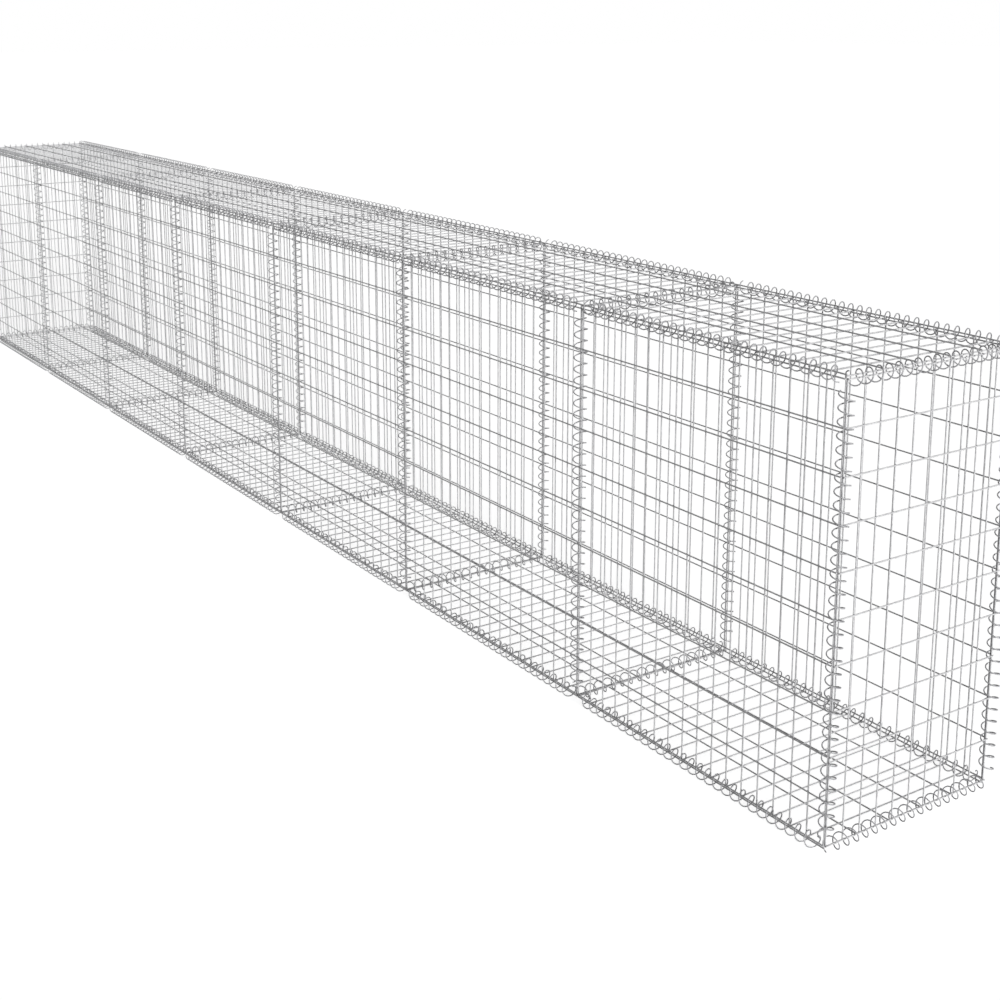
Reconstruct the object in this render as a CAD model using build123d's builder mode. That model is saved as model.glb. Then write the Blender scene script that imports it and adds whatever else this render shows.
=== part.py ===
"""Welded-mesh gabion wall: a row of open wire baskets, laced shut with spiral binders.

Frame: X along the wall, the front faces -Y, Z up, with the origin on the ground in the middle.
Each bay has a front, a back, a base and a cover of welded mesh, and the row has one mesh at
each end. Every edge and seam is closed by a wire coil that winds round the edge wires of both
panels and passes once or twice a turn through their openings.
"""
from build123d import *
from math import acos, ceil, degrees, floor, hypot, pi, radians, sin, sqrt
import os

# ---- driving dimensions, mm ----
BAYS = 7                    # baskets in the row
OPENING = 50.0              # short side of one mesh opening, between wire centres
LONG_OPENINGS = 2           # the long side of an opening is this many short ones
BAY_CELLS = 17              # short openings along one bay
DEPTH_CELLS = 5             # long openings from front to back
HEIGHT_CELLS = 10           # long openings from base to cover
MESH_WIRE = 3.5             # mesh wire diameter
WELD_SINK = 0.4             # how far crossing wires are pressed into each other by the weld
WIRE_END = 2.0              # wire left standing past the edge wire's centre
CORNER_GAP = 1.5            # room between a side's edge wire and the cover's or base's wires
SIDE_STEP = 1.0             # how far the front's uprights stand outside the cover's edge wire
COIL_WIRE = 3.0             # spiral binder wire diameter
COIL_OUTER = 35.0           # spiral binder, outside
COIL_GAP = 1.0              # least room between two binders that meet at a corner
OPENING_QUARTERS = 7        # quarter turns of a binder in one short opening
WIRE_SIDES = 6              # flats on a modelled mesh wire
RIGHT_HAND = 1              # turn of the binders along the row and under the base
LEFT_HAND = -1              # turn of the binders down the uprights and across the cover

# ---- worked out from them ----
LONG_OPENING = OPENING * LONG_OPENINGS
QUARTER = OPENING / OPENING_QUARTERS            # binder advance in a quarter turn
HALF_TURN = 2 * QUARTER
PASS = QUARTER / 2                              # from a wire to the quarter turn that passes it
LAYER = MESH_WIRE - WELD_SINK                   # from one wire layer of a mesh to the other
ROUND_TO_FLATS = sqrt(2 * pi / (WIRE_SIDES * sin(2 * pi / WIRE_SIDES)))
BAR_R = MESH_WIRE / 2 * ROUND_TO_FLATS          # flat-sided wire of the round wire's section area
COIL_R = (COIL_OUTER - COIL_WIRE) / 2           # binder radius to the wire's centre
BAY = BAY_CELLS * OPENING + QUARTER             # bay to bay, edge wires a quarter turn apart
LENGTH = BAYS * BAY
DEPTH = DEPTH_CELLS * LONG_OPENING              # between the cover's edge wires
HEIGHT = HEIGHT_CELLS * LONG_OPENING            # between the front's top and bottom wires
EDGE_STEP = MESH_WIRE + CORNER_GAP              # from a cover's cross wires to a side's edge wire
FRONT_Y = DEPTH / 2 + SIDE_STEP                 # uprights of the front and back
BASE_Z = COIL_OUTER / 2                         # cross wires of the base
COVER_Z = BASE_Z + HEIGHT + 2 * EDGE_STEP       # cross wires of the cover
MIDDLE_Z = (BASE_Z + COVER_Z) / 2
CLEAR = (COIL_OUTER + COIL_WIRE) / 2 + COIL_GAP  # a binder's end from the binder across its way

os.makedirs("parts", exist_ok=True)

stations = [-LENGTH / 2 + BAY * i for i in range(BAYS + 1)]
bay_middles = [x + BAY / 2 for x in stations[:-1]]


def save(piece, name):
    """Label a finished piece and write it as one STEP."""
    piece.label = name
    export_step(piece, f"parts/{name}.step", write_pcurves=False)
    print(name, len(piece.solids()), "solids", round(piece.volume), "mm3")


def welded_mesh(short_cells, long_cells):
    """A flat mesh about the origin: cross wires along Y at z = 0, line wires along X outside."""
    half_x = short_cells * OPENING / 2 + WIRE_END
    half_y = long_cells * LONG_OPENING / 2 + WIRE_END
    with BuildPart() as mesh:
        with BuildSketch(Plane((0, -half_y, 0), x_dir=(1, 0, 0), z_dir=(0, 1, 0))):
            with GridLocations(OPENING, 0, short_cells + 1, 1):
                RegularPolygon(BAR_R, WIRE_SIDES, rotation=90)
        extrude(amount=2 * half_y)
        with BuildSketch(Plane((-half_x, 0, LAYER), x_dir=(0, 1, 0), z_dir=(1, 0, 0))):
            with GridLocations(LONG_OPENING, 0, long_cells + 1, 1):
                RegularPolygon(BAR_R, WIRE_SIDES, rotation=90)
        extrude(amount=2 * half_x)
    return mesh.part


def binder(quarters, hand):
    """A wire coil up Z from the origin, wound to either hand by arcs that each turn a quarter."""
    slope = QUARTER / (2 * COIL_R)
    turned = degrees(acos(slope**2 / (1 + slope**2)))
    arc_r = hypot(COIL_R * sqrt(2), QUARTER) / 2 / sin(radians(turned / 2))
    with BuildPart() as coil:
        for i in range(quarters):
            out = Vector(1, 0, 0).rotate(Axis.Z, 90 * hand * i)
            onward = Vector(0, hand, slope).rotate(Axis.Z, 90 * hand * i)
            across = Vector(hand * slope, -slope, hand).rotate(Axis.Z, 90 * hand * i)
            begin = out * COIL_R + Vector(0, 0, QUARTER * i)
            with BuildSketch(Plane(begin, x_dir=out, z_dir=onward)):
                Circle(COIL_WIRE / 2)
            centre = begin + across.cross(onward).normalized() * arc_r
            revolve(axis=Axis(centre, across), revolution_arc=turned)
    return coil.part


def fit_binder(low, high, place, step=QUARTER):
    """Start and quarter turns of a binder between two limits, whole steps from a given place."""
    start = place + step * ceil((low - place) / step - 1e-6)
    return start, floor((high - start) / QUARTER + 1e-6)


# ---- panels ----
bay_side = welded_mesh(BAY_CELLS, HEIGHT_CELLS)
bay_floor = welded_mesh(BAY_CELLS, DEPTH_CELLS)
row_end = welded_mesh(DEPTH_CELLS * LONG_OPENINGS, HEIGHT_CELLS)

for number, x in enumerate(bay_middles, 1):
    with BuildPart(Plane((x, -FRONT_Y, MIDDLE_Z), x_dir=(1, 0, 0), z_dir=(0, -1, 0))) as front_panel:
        add(bay_side)
    save(front_panel.part, f"front_panel_{number}")

    with BuildPart(Plane((x, FRONT_Y, MIDDLE_Z), x_dir=(-1, 0, 0), z_dir=(0, 1, 0))) as back_panel:
        add(bay_side)
    save(back_panel.part, f"back_panel_{number}")

    with BuildPart(Plane((x, 0, BASE_Z), x_dir=(1, 0, 0), z_dir=(0, 0, -1))) as base_panel:
        add(bay_floor)
    save(base_panel.part, f"base_panel_{number}")

    with BuildPart(Plane((x, 0, COVER_Z), x_dir=(1, 0, 0), z_dir=(0, 0, 1))) as cover_panel:
        add(bay_floor)
    save(cover_panel.part, f"cover_panel_{number}")

with BuildPart(Plane((-LENGTH / 2, 0, MIDDLE_Z), x_dir=(0, -1, 0), z_dir=(-1, 0, 0))) as end_left:
    add(row_end)
save(end_left.part, "end_panel_left")

with BuildPart(Plane((LENGTH / 2, 0, MIDDLE_Z), x_dir=(0, 1, 0), z_dir=(1, 0, 0))) as end_right:
    add(row_end)
save(end_right.part, "end_panel_right")

# ---- binders along the four long edges, one for each bay, begun at the outermost side ----
start, quarters = fit_binder(CLEAR, BAY - CLEAR, QUARTER / 2 + PASS)
edge_binder = binder(quarters, RIGHT_HAND)
long_edges = {
    "front_top_spirals": (-FRONT_Y, COVER_Z, 1),
    "front_base_spirals": (-FRONT_Y, BASE_Z, -1),
    "back_top_spirals": (FRONT_Y, COVER_Z, 1),
    "back_base_spirals": (FRONT_Y, BASE_Z, -1),
}
for name, (y, z, up) in long_edges.items():
    with BuildPart() as edge_spirals:
        for x in stations[:-1]:
            with Locations(Plane((x + start, y, z), x_dir=(0, 0, up), z_dir=(1, 0, 0)).location):
                add(edge_binder)
    save(edge_spirals.part, name)

# ---- binders down the uprights, one at each station; the back's are the front's turned round ----
side_line_y = FRONT_Y + LAYER                   # line wires of the front and back
corner_x = LENGTH / 2 + LAYER                   # line wires of the row's two ends
top_wire = COVER_Z - EDGE_STEP                  # top line wire of the front, back and ends
base_wire = BASE_Z + EDGE_STEP
start, quarters = fit_binder(CLEAR - top_wire, -base_wire - CLEAR, PASS - top_wire)
upright_binder = binder(quarters, LEFT_HAND)
for name, side in {"front_upright_spirals": -1, "back_upright_spirals": 1}.items():
    with BuildPart() as upright_spirals:
        for x in stations[1:-1]:
            begin = (x, side * side_line_y, -start)
            with Locations(Plane(begin, x_dir=(0, -side, 0), z_dir=(0, 0, -1)).location):
                add(upright_binder)
        for x in (-corner_x, corner_x):
            begin = (x, side * side_line_y, -start)
            with Locations(Plane(begin, x_dir=(side, 0, 0), z_dir=(0, 0, -1)).location):
                add(upright_binder)
    save(upright_spirals.part, name)

# ---- binders from front to back, level with the sides' edge wires, one at each station ----
# At a seam a coil comes round between the line wires. At a row end it also clears the uprights.
across_limit = FRONT_Y - (MESH_WIRE + COIL_WIRE) / 2 - COIL_GAP
seam_start, seam_quarters = fit_binder(-across_limit, across_limit, QUARTER - DEPTH / 2, HALF_TURN)
end_start, end_quarters = fit_binder(-across_limit, across_limit, PASS - DEPTH / 2, HALF_TURN)
crossings = {
    "cover_cross_spirals": (top_wire, LEFT_HAND, 1),
    "base_cross_spirals": (base_wire, RIGHT_HAND, -1),
}
for name, (z, hand, up) in crossings.items():
    seam_binder = binder(seam_quarters, hand)
    end_binder = binder(end_quarters, hand)
    with BuildPart() as cross_spirals:
        for x in stations[1:-1]:
            with Locations(Plane((x, seam_start, z), x_dir=(-1, 0, 0), z_dir=(0, 1, 0)).location):
                add(seam_binder)
        for end in (-1, 1):
            begin = (end * LENGTH / 2, end * end_start, z)
            with Locations(Plane(begin, x_dir=(0, 0, up), z_dir=(0, end, 0)).location):
                add(end_binder)
    save(cross_spirals.part, name)
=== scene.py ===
# %% [markdown]
# # A gabion wall of welded mesh
# A gabion is a wire basket that is filled with stone on site. This row of seven empty baskets
# is made of flat welded mesh, and every edge is laced with a coil of wire, the spiral binder.
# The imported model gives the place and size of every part. This file gives each part its real
# look, in the order in which the wall is made: the zinc, the mesh, the binders, and the studio.

# %% Load the frame
from math import cos, degrees, pi, sin

import bmesh
import bpy
from mathutils import Matrix, Vector


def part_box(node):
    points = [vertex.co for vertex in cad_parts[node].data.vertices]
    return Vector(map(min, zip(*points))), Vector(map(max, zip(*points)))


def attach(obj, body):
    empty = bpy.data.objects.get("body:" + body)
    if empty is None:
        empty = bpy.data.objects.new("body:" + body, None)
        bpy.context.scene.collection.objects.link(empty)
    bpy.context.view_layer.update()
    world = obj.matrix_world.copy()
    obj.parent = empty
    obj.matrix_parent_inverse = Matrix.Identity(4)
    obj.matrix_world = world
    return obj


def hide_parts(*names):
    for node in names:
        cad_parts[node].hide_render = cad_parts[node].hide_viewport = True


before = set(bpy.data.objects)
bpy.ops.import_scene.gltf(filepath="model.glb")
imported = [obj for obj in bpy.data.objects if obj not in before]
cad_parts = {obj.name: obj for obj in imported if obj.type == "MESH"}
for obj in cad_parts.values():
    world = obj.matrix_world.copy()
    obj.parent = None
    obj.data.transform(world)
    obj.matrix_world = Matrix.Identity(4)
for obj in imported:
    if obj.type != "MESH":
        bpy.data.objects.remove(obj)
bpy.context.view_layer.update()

# %% [markdown]
# ## Two small helpers
# Geometry trees and shader trees are built the same way: add a node, give it its settings and
# wire it up. One function does that for both. Colours are written as the hex values of a paint
# program, but the renderer works in linear light, so a second function converts them.

# %% Helpers for trees and colours
def add_node(tree, kind, sources=None, **settings):
    """Add a node, give its settings, and feed its inputs with values or other outputs."""
    node = tree.nodes.new(kind)
    for name, value in settings.items():
        setattr(node, name, value)
    for key, source in (sources or {}).items():
        if isinstance(source, bpy.types.NodeSocket):
            tree.links.new(source, node.inputs[key])
        else:
            node.inputs[key].default_value = source
    return node


def linear(hex_colour):
    """An sRGB hex colour such as '8A8F94' as linear RGBA."""
    channels = [int(hex_colour[i:i + 2], 16) / 255 for i in (0, 2, 4)]
    channels = [c / 12.92 if c <= 0.04045 else ((c + 0.055) / 1.055) ** 2.4 for c in channels]
    return channels + [1.0]


print("mid grey 808080 is", round(linear("808080")[0], 3), "in linear light")

# %% [markdown]
# ## The zinc finishes
# All the wire is galvanised. Fresh zinc is bright, but within weeks it grows a pale, chalky
# skin of zinc carbonate, with a little bare metal shining through. So the shader is only
# slightly metallic. One function makes the finish of all three surfaces, because they differ
# only in colour, gloss and the size of their patches. Two noises drive it. A coarse one mottles
# the colour, and a fine one, the frosty grain, varies gloss and height. The patches are drawn
# a few times as coarse as real ones, so that they show on thin wire. Both noises read Object
# coordinates, so the pattern stays on the wire from every side.

# %% A zinc finish
MILLIMETRE = 0.001
PATCH_EDGES = 0.35, 0.68            # noise levels below and above which a patch is one grey
PATCH_DETAIL, GRAIN_DETAIL = 3.0, 2.0
GRAIN_STRENGTH = 0.5
GLOSS_SPREAD = 0.08                 # the grain's roughness, either side of the surface's own


def zinc_finish(name, light, dark, roughness, metallic, patch_mm, grain_mm, grain_depth_mm):
    """A galvanised surface: patches of two greys, with a finer grain in gloss and height."""
    material = bpy.data.materials.new(name)
    material.use_nodes = True
    tree = material.node_tree
    tree.nodes.clear()
    place = add_node(tree, "ShaderNodeTexCoord").outputs["Object"]
    patch = {"Vector": place, "Scale": 1 / (patch_mm * MILLIMETRE), "Detail": PATCH_DETAIL}
    patches = add_node(tree, "ShaderNodeTexNoise", patch).outputs[0]
    colour = add_node(tree, "ShaderNodeValToRGB", {"Fac": patches})
    for stop, position, shade in zip(colour.color_ramp.elements, PATCH_EDGES, (dark, light)):
        stop.position = position
        stop.color = linear(shade)
    grit = {"Vector": place, "Scale": 1 / (grain_mm * MILLIMETRE), "Detail": GRAIN_DETAIL}
    grain = add_node(tree, "ShaderNodeTexNoise", grit).outputs[0]
    gloss = {"Value": grain, "To Min": roughness - GLOSS_SPREAD, "To Max": roughness + GLOSS_SPREAD}
    gloss = add_node(tree, "ShaderNodeMapRange", gloss).outputs[0]
    bump = {"Height": grain, "Strength": GRAIN_STRENGTH, "Distance": grain_depth_mm * MILLIMETRE}
    bump = add_node(tree, "ShaderNodeBump", bump).outputs[0]
    shader = add_node(tree, "ShaderNodeBsdfPrincipled", {
        "Base Color": colour.outputs[0], "Metallic": metallic, "Roughness": gloss, "Normal": bump,
    })
    add_node(tree, "ShaderNodeOutputMaterial", {"Surface": shader.outputs[0]})
    return material


print("a zinc finish varies its roughness by", GLOSS_SPREAD, "either way")

# %% [markdown]
# ## Three zinc surfaces
# The mesh was dipped in molten zinc after welding, which leaves it pale and satin. The binders
# are of spring wire that was galvanised first and drawn and coiled afterwards, so they are
# smoother, a little darker and finer in their patches. Where zinc pooled over a weld it set
# slowly, and is duller and rougher than the wire beside it.

# %% The wall's zinc surfaces
# Hot-dip galvanised wire looks pale and satin, with soft mottling and a frosty grain.
mesh_zinc = zinc_finish(
    "hot_dip_galvanised_wire", light="DDDDDE", dark="C5C5C7", roughness=0.50, metallic=0.1,
    patch_mm=9, grain_mm=0.5, grain_depth_mm=0.03)
# Drawn galvanised wire looks smoother and greyer, so that the binders stand out from the mesh.
binder_zinc = zinc_finish(
    "drawn_galvanised_wire", light="C3C3C5", dark="A2A2A5", roughness=0.42, metallic=0.1,
    patch_mm=5, grain_mm=0.35, grain_depth_mm=0.02)
# Zinc over a weld looks dull and lumpy, so that each crossing reads as a joint.
weld_zinc = zinc_finish(
    "zinc_over_weld", light="C1C1C3", dark="A2A2A5", roughness=0.62, metallic=0.05,
    patch_mm=3, grain_mm=0.4, grain_depth_mm=0.05)
print("finishes:", mesh_zinc.name, binder_zinc.name, weld_zinc.name)

# %% [markdown]
# ## Sizes of the wire and the mesh
# The wires, the weld and the mesh opening are stock sizes. Everything else, such as how many
# openings a panel has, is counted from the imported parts.

# %% Stock sizes
MESH_WIRE = 3.5 * MILLIMETRE
BINDER_WIRE = 3.0 * MILLIMETRE
OPENING = 50 * MILLIMETRE          # short side of a mesh opening
LONG_OPENING = 100 * MILLIMETRE    # long side of a mesh opening
LAYER = 3.1 * MILLIMETRE           # between the two wire layers, which the weld pressed together
WIRE_END = 2.0 * MILLIMETRE        # cut end past the edge wire
print("openings of", OPENING, "by", LONG_OPENING, "m in wire of", MESH_WIRE, "m")

# %% [markdown]
# ## Running a geometry tree
# Geometry Nodes make whatever repeats here. A tree needs an object to run on, so a bare object
# carries the points that the tree starts from, and the result is copied out as a plain mesh.
# The tree's inputs are set by their identifiers, before it first runs.

# %% Helpers to make and run trees
def new_tree(name, inputs):
    """An empty geometry tree with named inputs, its input node and its output node."""
    tree = bpy.data.node_groups.new(name, "GeometryNodeTree")
    tree.interface.new_socket("Geometry", in_out="OUTPUT", socket_type="NodeSocketGeometry")
    for label, kind in inputs.items():
        tree.interface.new_socket(label, in_out="INPUT", socket_type=kind)
    return tree, add_node(tree, "NodeGroupInput").outputs, add_node(tree, "NodeGroupOutput")


def run_tree(tree, values, points=()):
    """Run a tree on some points and return its result as a plain mesh."""
    seed_mesh = bpy.data.meshes.new("points")
    seed_mesh.from_pydata(points, [], [])
    worker = bpy.data.objects.new("worker", seed_mesh)
    bpy.context.scene.collection.objects.link(worker)
    modifier = worker.modifiers.new("build", "NODES")
    modifier.node_group = tree
    for item in tree.interface.items_tree:
        if item.in_out == "INPUT" and item.name in values:
            modifier[item.identifier] = values[item.name]
    graph = bpy.context.evaluated_depsgraph_get()
    mesh = bpy.data.meshes.new_from_object(worker.evaluated_get(graph), depsgraph=graph)
    bpy.data.objects.remove(worker)
    bpy.data.meshes.remove(seed_mesh)
    return mesh


print("a tree is made by", new_tree.__name__, "and run by", run_tree.__name__)

# %% [markdown]
# ## From a flat mesh to a piece of the wall
# Each tree makes its mesh flat about the origin, which keeps its sums simple. The mesh itself
# is then turned and moved to where the part stands, and not its object, because every piece
# of the wall shares one origin. Wire is round, so its faces are shaded smooth, but a cut end
# keeps its rim.

# %% Helpers to place a mesh and make it a piece
SHARP_ANGLE = pi / 3                # smooth along the wire, and crisp at the rim of a cut end


def place_at(origin, x_axis, z_axis):
    """The matrix that stands a flat-built mesh at its place, given where its x and z point."""
    x, z = Vector(x_axis), Vector(z_axis)
    turn = Matrix((x, z.cross(x), z)).transposed()
    return Matrix.Translation(origin) @ turn.to_4x4()


def fit_piece(mesh, node):
    """Make a finished mesh the look of a CAD node."""
    mesh.name = node + "_look"
    mesh.set_sharp_from_angle(angle=SHARP_ANGLE)
    piece = bpy.data.objects.new(mesh.name, mesh)
    bpy.context.scene.collection.objects.link(piece)
    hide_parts(node)
    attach(piece, "root")
    return piece


print("edges sharper than", round(degrees(SHARP_ANGLE)), "degrees stay crisp")

# %% [markdown]
# ## Welded mesh
# Mesh is made by laying cross wires over line wires and pressing a welding electrode on every
# crossing. It could be made as one wireframe of a grid, but real wires lie in two layers and
# end a little past their last weld. So each wire is made by itself. The tree first works out
# the sizes that all of them share. In its vectors, X is along the row of cross wires, Y is
# along the cross wires, and Z is from layer to layer.

# %% The mesh tree: inputs and sizes
mesh_tree, given, result = new_tree("welded_mesh", {
    "Short openings": "NodeSocketInt", "Long openings": "NodeSocketInt",
    "Opening": "NodeSocketFloat", "Long opening": "NodeSocketFloat", "Layer": "NodeSocketFloat",
    "Wire diameter": "NodeSocketFloat", "Wire end": "NodeSocketFloat", "Seed": "NodeSocketInt",
    "Wire finish": "NodeSocketMaterial", "Weld finish": "NodeSocketMaterial",
})
cells = {"X": given["Short openings"], "Y": given["Long openings"], "Z": 1.0}
cells = add_node(mesh_tree, "ShaderNodeCombineXYZ", cells).outputs[0]
cell = {"X": given["Opening"], "Y": given["Long opening"], "Z": given["Layer"]}
cell = add_node(mesh_tree, "ShaderNodeCombineXYZ", cell).outputs[0]
span = {0: cells, 1: cell}
span = add_node(mesh_tree, "ShaderNodeVectorMath", span, operation="MULTIPLY").outputs[0]
ends = {0: span, 1: (0.5, 0.5, 0.5), 2: given["Wire end"]}
ends = add_node(mesh_tree, "ShaderNodeVectorMath", ends, operation="MULTIPLY_ADD").outputs[0]
radius = {0: given["Wire diameter"], 1: 0.5}
radius = add_node(mesh_tree, "ShaderNodeMath", radius, operation="MULTIPLY").outputs[0]
print("the sizes take", len(mesh_tree.nodes), "nodes")

# %% [markdown]
# ## The two layers of wire
# Both layers are made in the same way, so a loop builds them. It sweeps a circle along one
# straight wire and puts a copy on every point of a row. The vectors in the loop's table pick
# out where a row starts, which way it goes, and which way its wires point.

# %% The mesh tree: wires
WIRE_FACETS = 10                    # enough for a round look, on a wire that is repeated often
circle = {"Resolution": WIRE_FACETS, "Radius": radius}
circle = add_node(mesh_tree, "GeometryNodeCurvePrimitiveCircle", circle, mode="RADIUS").outputs[0]

rows, counts = [], []
for openings, first, step, half_wire in (
    (given["Short openings"], (-0.5, 0, -0.5), (1, 0, 0), (0, 1, 0)),
    (given["Long openings"], (0, -0.5, 0.5), (0, 1, 0), (1, 0, 0)),
):
    first = add_node(mesh_tree, "ShaderNodeVectorMath", {0: span, 1: first}, operation="MULTIPLY")
    step = add_node(mesh_tree, "ShaderNodeVectorMath", {0: cell, 1: step}, operation="MULTIPLY")
    tip = add_node(mesh_tree, "ShaderNodeVectorMath", {0: ends, 1: half_wire}, operation="MULTIPLY")
    tail = {0: tip.outputs[0], "Scale": -1.0}
    tail = add_node(mesh_tree, "ShaderNodeVectorMath", tail, operation="SCALE")
    line = {"Start": tail.outputs[0], "End": tip.outputs[0]}
    line = add_node(mesh_tree, "GeometryNodeCurvePrimitiveLine", line).outputs[0]
    wire = {"Curve": line, "Profile Curve": circle, "Fill Caps": True}
    wire = add_node(mesh_tree, "GeometryNodeCurveToMesh", wire).outputs[0]
    count = add_node(mesh_tree, "ShaderNodeMath", {0: openings, 1: 1.0}, operation="ADD").outputs[0]
    row = {"Count": count, "Start Location": first.outputs[0], "Offset": step.outputs[0]}
    row = add_node(mesh_tree, "GeometryNodeMeshLine", row, mode="OFFSET").outputs[0]
    row = add_node(mesh_tree, "GeometryNodeInstanceOnPoints", {"Points": row, "Instance": wire})
    rows.append(row.outputs[0])
    counts.append(count)
print("with the wires the tree has", len(mesh_tree.nodes), "nodes")

# %% [markdown]
# ## Weld beads
# Each crossing has a small bead of zinc and squeezed-out steel between the layers. A flattened
# ball on every point of a grid gives that. Real beads differ, so their size and turn are
# random, from a fixed seed. The tree ends by making the copies real, because an export drops
# instances, and by setting the finishes. Until then an attribute tells the welds from the wire.

# %% The mesh tree: welds
BEAD_SIZE = (0.66, 0.66, 0.36)      # bead half sizes, in wire diameters
BEAD_LOW, BEAD_HIGH = 0.85, 1.12    # spread of bead sizes
BEAD_SEGMENTS, BEAD_RINGS = 8, 4    # few faces, because a panel has up to 198 beads
spans = add_node(mesh_tree, "ShaderNodeSeparateXYZ", {0: span}).outputs
grid = {"Size X": spans[0], "Size Y": spans[1], "Vertices X": counts[0], "Vertices Y": counts[1]}
grid = add_node(mesh_tree, "GeometryNodeMeshGrid", grid).outputs[0]
ball = {"Segments": BEAD_SEGMENTS, "Rings": BEAD_RINGS, "Radius": given["Wire diameter"]}
ball = add_node(mesh_tree, "GeometryNodeMeshUVSphere", ball).outputs[0]
bead = {"Geometry": ball, "Scale": BEAD_SIZE}
bead = add_node(mesh_tree, "GeometryNodeTransform", bead).outputs[0]
size = {2: BEAD_LOW, 3: BEAD_HIGH, "Seed": given["Seed"]}
size = add_node(mesh_tree, "FunctionNodeRandomValue", size, data_type="FLOAT").outputs[1]
turned = {0: (0, 0, 0), 1: (0, 0, pi), "Seed": given["Seed"]}
turned = add_node(mesh_tree, "FunctionNodeRandomValue", turned, data_type="FLOAT_VECTOR").outputs[0]
beads = {"Points": grid, "Instance": bead, "Scale": size, "Rotation": turned}
beads = add_node(mesh_tree, "GeometryNodeInstanceOnPoints", beads).outputs[0]
joined = add_node(mesh_tree, "GeometryNodeJoinGeometry")
marked = {"Geometry": beads, "Name": "is_weld", "Value": True}
marked = add_node(mesh_tree, "GeometryNodeStoreNamedAttribute", marked, data_type="BOOLEAN",
                  domain="INSTANCE").outputs[0]
for part in (marked, *rows):
    mesh_tree.links.new(part, joined.inputs[0])
real = {"Geometry": joined.outputs[0]}
real = add_node(mesh_tree, "GeometryNodeRealizeInstances", real).outputs[0]
is_weld = {"Name": "is_weld"}
is_weld = add_node(mesh_tree, "GeometryNodeInputNamedAttribute", is_weld, data_type="BOOLEAN")
zinced = {"Geometry": real, "Material": given["Wire finish"]}
zinced = add_node(mesh_tree, "GeometryNodeSetMaterial", zinced).outputs[0]
welded = {"Geometry": zinced, "Selection": is_weld.outputs[0], "Material": given["Weld finish"]}
welded = add_node(mesh_tree, "GeometryNodeSetMaterial", welded).outputs[0]
mesh_tree.links.new(welded, result.inputs[0])
print("the whole tree has", len(mesh_tree.nodes), "nodes")

# %% [markdown]
# ## Hanging the panels
# Fronts, backs, bases, covers and ends all use the same tree. A panel's box tells how many
# openings it has, and its name tells which way it faces. The line wires are on the outside.

# %% Panels
FACING = {   # panel name: where its short openings run, and where its outside faces
    "front": ((1, 0, 0), (0, -1, 0)),
    "back": ((-1, 0, 0), (0, 1, 0)),
    "base": ((1, 0, 0), (0, 0, -1)),
    "cover": ((1, 0, 0), (0, 0, 1)),
    "end_panel_left": ((0, -1, 0), (-1, 0, 0)),
    "end_panel_right": ((0, 1, 0), (1, 0, 0)),
}
panels = sorted(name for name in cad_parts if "panel" in name)
for seed, name in enumerate(panels):
    low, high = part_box(name)
    along, outward = next(FACING[key] for key in FACING if name.startswith(key))
    place = place_at((low + high) / 2, along, outward)
    size = place.to_3x3().transposed() @ (high - low)
    mesh = run_tree(mesh_tree, {
        "Short openings": round((abs(size.x) - 2 * WIRE_END) / OPENING),
        "Long openings": round((abs(size.y) - 2 * WIRE_END) / LONG_OPENING),
        "Opening": OPENING, "Long opening": LONG_OPENING, "Layer": LAYER,
        "Wire diameter": MESH_WIRE, "Wire end": WIRE_END, "Seed": seed,
        "Wire finish": mesh_zinc, "Weld finish": weld_zinc,
    })
    mesh.transform(place)
    piece = fit_piece(mesh, name)
print(len(panels), "panels, the last with", len(piece.data.polygons), "faces")

# %% [markdown]
# ## Spiral binders
# A binder is a spring-like coil that a worker screws along an edge, so that it winds round the
# edge wires of both panels. Its shape is a helix, and Geometry Nodes have a Spiral curve for
# that, so no points need to be worked out. The tree sweeps the wire along one spiral and puts
# a copy on each start point. Some of the coils are wound to the left and some to the right,
# and a switch on the Spiral turns one into the other.

# %% The binder tree
BINDER_FACETS = 8                   # round the wire
STEPS_PER_TURN = 16                 # along it
binder_tree, given, result = new_tree("spiral_binder", {
    "Starts": "NodeSocketGeometry", "Turns": "NodeSocketFloat", "Pitch": "NodeSocketFloat",
    "Coil radius": "NodeSocketFloat", "Wire radius": "NodeSocketFloat",
    "Right hand": "NodeSocketBool", "Wire finish": "NodeSocketMaterial",
})
height = {0: given["Turns"], 1: given["Pitch"]}
height = add_node(binder_tree, "ShaderNodeMath", height, operation="MULTIPLY").outputs[0]
helix = {
    "Resolution": STEPS_PER_TURN, "Rotations": given["Turns"], "Start Radius": given["Coil radius"],
    "End Radius": given["Coil radius"], "Height": height, "Reverse": given["Right hand"],
}
helix = add_node(binder_tree, "GeometryNodeCurveSpiral", helix).outputs[0]
circle = {"Resolution": BINDER_FACETS, "Radius": given["Wire radius"]}
circle = add_node(binder_tree, "GeometryNodeCurvePrimitiveCircle", circle, mode="RADIUS").outputs[0]
coil = {"Curve": helix, "Profile Curve": circle, "Fill Caps": True}
coil = add_node(binder_tree, "GeometryNodeCurveToMesh", coil).outputs[0]
coils = {"Points": given["Starts"], "Instance": coil}
coils = add_node(binder_tree, "GeometryNodeInstanceOnPoints", coils).outputs[0]
real = add_node(binder_tree, "GeometryNodeRealizeInstances", {"Geometry": coils}).outputs[0]
zinced = {"Geometry": real, "Material": given["Wire finish"]}
zinced = add_node(binder_tree, "GeometryNodeSetMaterial", zinced).outputs[0]
binder_tree.links.new(zinced, result.inputs[0])
print("the binder tree has", len(binder_tree.nodes), "nodes")

# %% [markdown]
# ## Winding the binders on
# A binder advances a seventh of an opening in a quarter turn, so that it never meets a wire.
# Coils that start on the same side of their axis are wound together, from a list of their
# start points. A part may need several such lists, and BMesh joins their meshes into one.

# %% A helper to wind them
ADVANCE = OPENING / 7               # a binder climbs this far in a quarter turn


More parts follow.
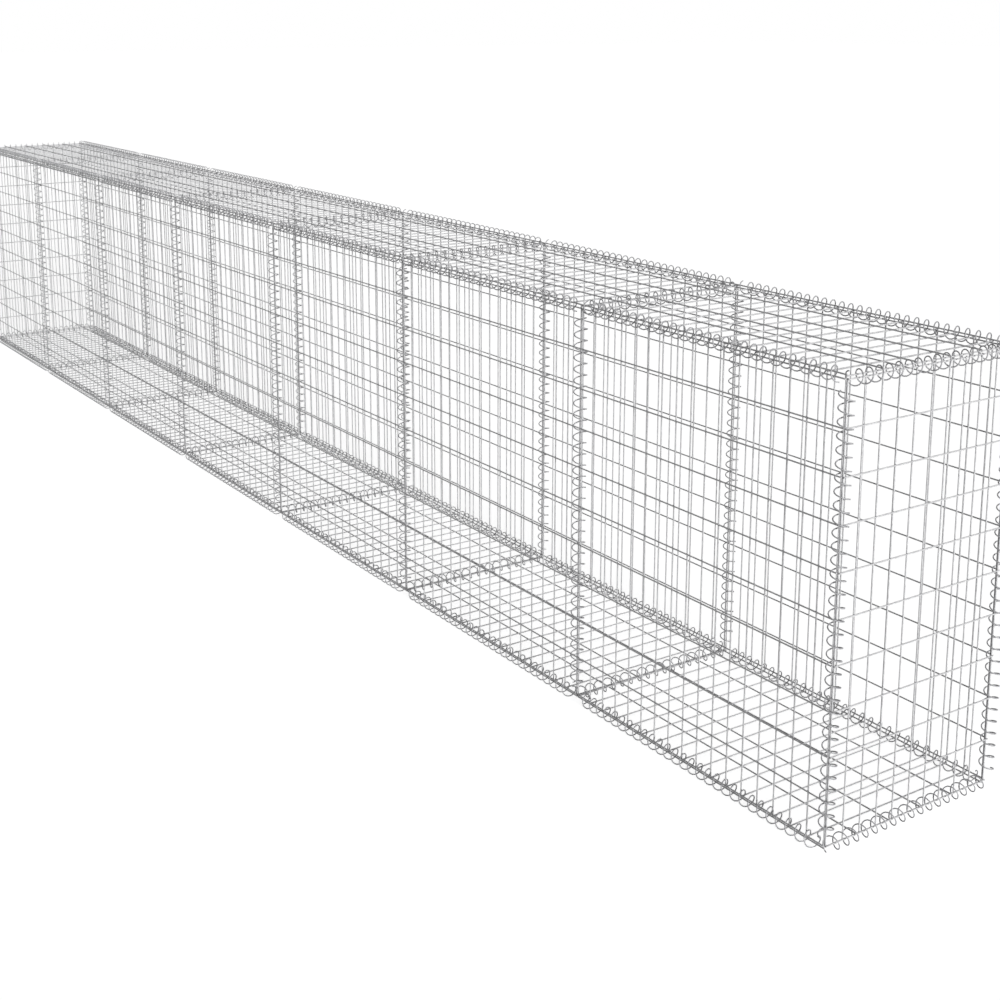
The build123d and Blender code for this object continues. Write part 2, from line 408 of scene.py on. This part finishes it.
def wind(name, right_hand, coil_lists):
    """Wind a part's binders; each list is start points, first side, climb and quarter turns."""
    low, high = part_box(name)
    joined = bmesh.new()
    for starts, first_side, climb, quarters in coil_lists:
        place = place_at((0, 0, 0), first_side, climb)
        mesh = run_tree(binder_tree, {
            "Turns": quarters / 4, "Pitch": 4 * ADVANCE, "Right hand": right_hand,
            "Coil radius": (min(high - low) - BINDER_WIRE) / 2, "Wire radius": BINDER_WIRE / 2,
            "Wire finish": binder_zinc,
        }, [place.inverted() @ Vector(start) for start in starts])
        mesh.transform(place)
        joined.from_mesh(mesh)
    joined.to_mesh(mesh)            # the last mesh already has the finish
    joined.free()
    piece = fit_piece(mesh, name)
    print(name, "up to", quarters / 4, "turns,", len(piece.data.polygons), "faces")


print("a binder's pitch is", round(4 * ADVANCE / MILLIMETRE, 1), "mm")

# %% [markdown]
# ## Long edges
# Each bay has its own binder along each of the four long edges. The binder stops short of the
# seams, where the uprights' and the cross binders pass.

# %% Binders of the long edges
fronts = sorted(name for name in panels if name.startswith("front"))
front_boxes = [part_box(name) for name in fronts]
seams = [(left[1].x + right[0].x) / 2 for left, right in zip(front_boxes, front_boxes[1:])]
bay = seams[1] - seams[0]
for name in ("front_top_spirals", "front_base_spirals", "back_top_spirals", "back_base_spirals"):
    low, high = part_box(name)
    middle = (low + high) / 2
    quarters = round((high.x - low.x - bay * len(seams) - BINDER_WIRE) / ADVANCE)
    starts = [(low.x + BINDER_WIRE / 2 + bay * i, middle.y, middle.z) for i in range(len(fronts))]
    outer_side = (0, 0, 1 if "top" in name else -1)
    wind(name, True, [(starts, outer_side, (1, 0, 0), quarters)])

# %% [markdown]
# ## Uprights
# The binders of the uprights hang from the top, one at each seam and one at each corner. The
# back of the row is its front turned round, so its coils start on the opposite side.

# %% Binders of the uprights
for name, side in (("front_upright_spirals", -1), ("back_upright_spirals", 1)):
    low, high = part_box(name)
    middle = (low + high) / 2
    half_coil = (high.y - low.y) / 2
    top = high.z - BINDER_WIRE / 2
    quarters = round((high.z - low.z - BINDER_WIRE) / ADVANCE)
    at_seams = [(x, middle.y, top) for x in seams]
    at_corners = [(x, middle.y, top) for x in (low.x + half_coil, high.x - half_coil)]
    wind(name, False, [(at_seams, (0, -side, 0), (0, 0, -1), quarters),
                       (at_corners, (side, 0, 0), (0, 0, -1), quarters)])

# %% [markdown]
# ## From front to back
# The binders of the cover and the base lie across the row at each station. At the two ends of
# the row they are half an advance longer at both ends, to pass between the end's uprights, and
# the left one is the right one turned round.

# %% Binders across the cover and the base
for name, right_hand, up in (("cover_cross_spirals", False, 1), ("base_cross_spirals", True, -1)):
    low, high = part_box(name)
    z = (low.z + high.z) / 2
    half_coil = (high.z - low.z) / 2
    edge = low.y + BINDER_WIRE / 2
    quarters = round((high.y - low.y - BINDER_WIRE) / ADVANCE)
    at_seams = [(x, edge + ADVANCE / 2, z) for x in seams]
    wind(name, right_hand, [
        (at_seams, (-1, 0, 0), (0, 1, 0), quarters - 1),
        ([(high.x - half_coil, edge, z)], (0, 0, up), (0, 1, 0), quarters),
        ([(low.x + half_coil, -edge, z)], (0, 0, up), (0, -1, 0), quarters),
    ])

# %% [markdown]
# ## Light in the studio
# The wall stands in a white studio. What the camera and reflections see is white, and what
# lights the wall is dimmer, so that its zinc keeps its tone. Light Path tells those rays apart,
# for the floor and for the sky alike, so a helper adds the nodes that do it.

# %% Strengths of the light
AMBIENT = 0.05                      # the sky as it lights things
LAMP = 1.15                         # the lamp on a surface that faces it
LAMP_TOWARD = Vector((-0.96, 0.10, -0.12)).normalized()
LAMP_SPREAD = 0.35                  # radians across


def seen_rays(tree):
    """The output that is 1 for rays of the camera and of reflections, and else 0."""
    ray = add_node(tree, "ShaderNodeLightPath").outputs
    seen = {0: ray["Is Camera Ray"], 1: ray["Is Glossy Ray"]}
    seen = add_node(tree, "ShaderNodeMath", seen, operation="MAXIMUM").outputs[0]
    seen = {0: seen, 1: ray["Is Transmission Ray"]}
    return add_node(tree, "ShaderNodeMath", seen, operation="MAXIMUM").outputs[0]


print("sky strength on the wall:", AMBIENT, "and lamp:", LAMP)

# %% [markdown]
# ## Floor
# A studio floor is painted matt white. The floor is that paint plus a glow for the seen rays
# only. The glow makes up what the paint lacks to white, and keeps the shadow. A white backdrop
# could stand behind the wall instead, but it would show its edges in a view from the side.

# %% Floor
FLOOR_HALF = 60.0                   # m, far enough to reach the horizon
FLOOR_PAINT = linear("F4F4F4")
SEEN_WHITE = 1.03                   # paint and glow together, a little past white
floor_tone = FLOOR_PAINT[0] * (AMBIENT - LAMP * LAMP_TOWARD.z)
floor_mesh = bpy.data.meshes.new("floor")
corners = [(x * FLOOR_HALF, y * FLOOR_HALF, 0) for x, y in ((-1, -1), (1, -1), (1, 1), (-1, 1))]
floor_mesh.from_pydata(corners, [], [(0, 1, 2, 3)])
floor = bpy.data.objects.new("floor", floor_mesh)
bpy.context.scene.collection.objects.link(floor)

# Matt white floor paint, rolled on: it scatters light evenly and has no sheen.
paint = bpy.data.materials.new("matt_white_floor_paint")
paint.use_nodes = True
tree = paint.node_tree
tree.nodes.clear()
glow = {0: seen_rays(tree), 1: SEEN_WHITE - floor_tone}
glow = add_node(tree, "ShaderNodeMath", glow, operation="MULTIPLY").outputs[0]
matt = add_node(tree, "ShaderNodeBsdfDiffuse", {"Color": FLOOR_PAINT}).outputs[0]
glow = add_node(tree, "ShaderNodeEmission", {"Strength": glow}).outputs[0]
both = add_node(tree, "ShaderNodeAddShader", {0: matt, 1: glow}).outputs[0]
add_node(tree, "ShaderNodeOutputMaterial", {"Surface": both})
floor_mesh.materials.append(paint)
print("the paint alone renders at", round(floor_tone, 2))

# %% [markdown]
# ## Sky
# The studio's walls and ceiling are far away and even, so the world stands in for them: white
# where it is seen, and dim where it lights the wall.

# %% Sky
sky = bpy.data.worlds.new("white_studio")
bpy.context.scene.world = sky
sky.use_nodes = True
tree = sky.node_tree
tree.nodes.clear()
dim = {"Strength": AMBIENT}
dim = add_node(tree, "ShaderNodeBackground", dim).outputs[0]
white = {"Color": linear("FFFFFF"), "Strength": 1.0}
white = add_node(tree, "ShaderNodeBackground", white).outputs[0]
both = {0: seen_rays(tree), 1: dim, 2: white}
both = add_node(tree, "ShaderNodeMixShader", both).outputs[0]
add_node(tree, "ShaderNodeOutputWorld", {"Surface": both})
print("the sky has", len(tree.nodes), "nodes")

# %% [markdown]
# ## Lamp
# Thin wires are hard to light, because each one shows only a strip of its surroundings. One
# broad lamp beyond the near end, low over the floor, brightens the uprights and the wires that
# run from front to back, and leaves the long wires dark, so that the row reads clearly. A sun
# lamp does that for the whole row alike, where a lamp panel would leave the far bays dim.

# %% Lamp
lamp = bpy.data.lights.new("near_end_lamp", "SUN")
lamp.energy = LAMP * pi
lamp.angle = LAMP_SPREAD
sun = bpy.data.objects.new(lamp.name, lamp)
bpy.context.scene.collection.objects.link(sun)
sun.rotation_mode = "QUATERNION"
sun.rotation_quaternion = LAMP_TOWARD.to_track_quat("-Z", "Y")
print("the lamp shines toward", [round(v, 2) for v in LAMP_TOWARD])

# %% [markdown]
# ## Camera
# The camera looks down the row from beyond the near end, a little above the covers. Its place
# is measured from the end of the front panel's lowest wire. The lens is shifted down as well,
# so that the camera tilts less and the uprights lean less.

# %% Camera
YAW, PITCH = 0.5861, -0.1996        # radians: turned from straight along the wall, and down
FOCAL, SENSOR = 1.5046, 36.0        # focal length in picture widths, and that width in mm
SHIFT = 0.0103, -0.1844             # lens shift in picture widths
EYE = Vector((1.9886, -2.1544, 1.7029))     # m, from the near end's lowest front wire
near_low = front_boxes[-1][0]
near_end = Vector((seams[-1] + bay, near_low.y + MESH_WIRE / 2, near_low.z + WIRE_END))
camera_data = bpy.data.cameras.new("camera")
camera_data.sensor_width = SENSOR
camera_data.lens = FOCAL * SENSOR
camera_data.shift_x, camera_data.shift_y = SHIFT
camera = bpy.data.objects.new("camera", camera_data)
bpy.context.scene.collection.objects.link(camera)
camera.location = near_end + EYE
camera.rotation_mode = "QUATERNION"
ahead = Vector((-cos(YAW) * cos(PITCH), sin(YAW) * cos(PITCH), sin(PITCH)))
camera.rotation_quaternion = ahead.to_track_quat("-Z", "Y")
bpy.context.scene.camera = camera
bpy.context.scene.view_settings.view_transform = "Standard"
print("camera at", [round(v, 3) for v in camera.location])
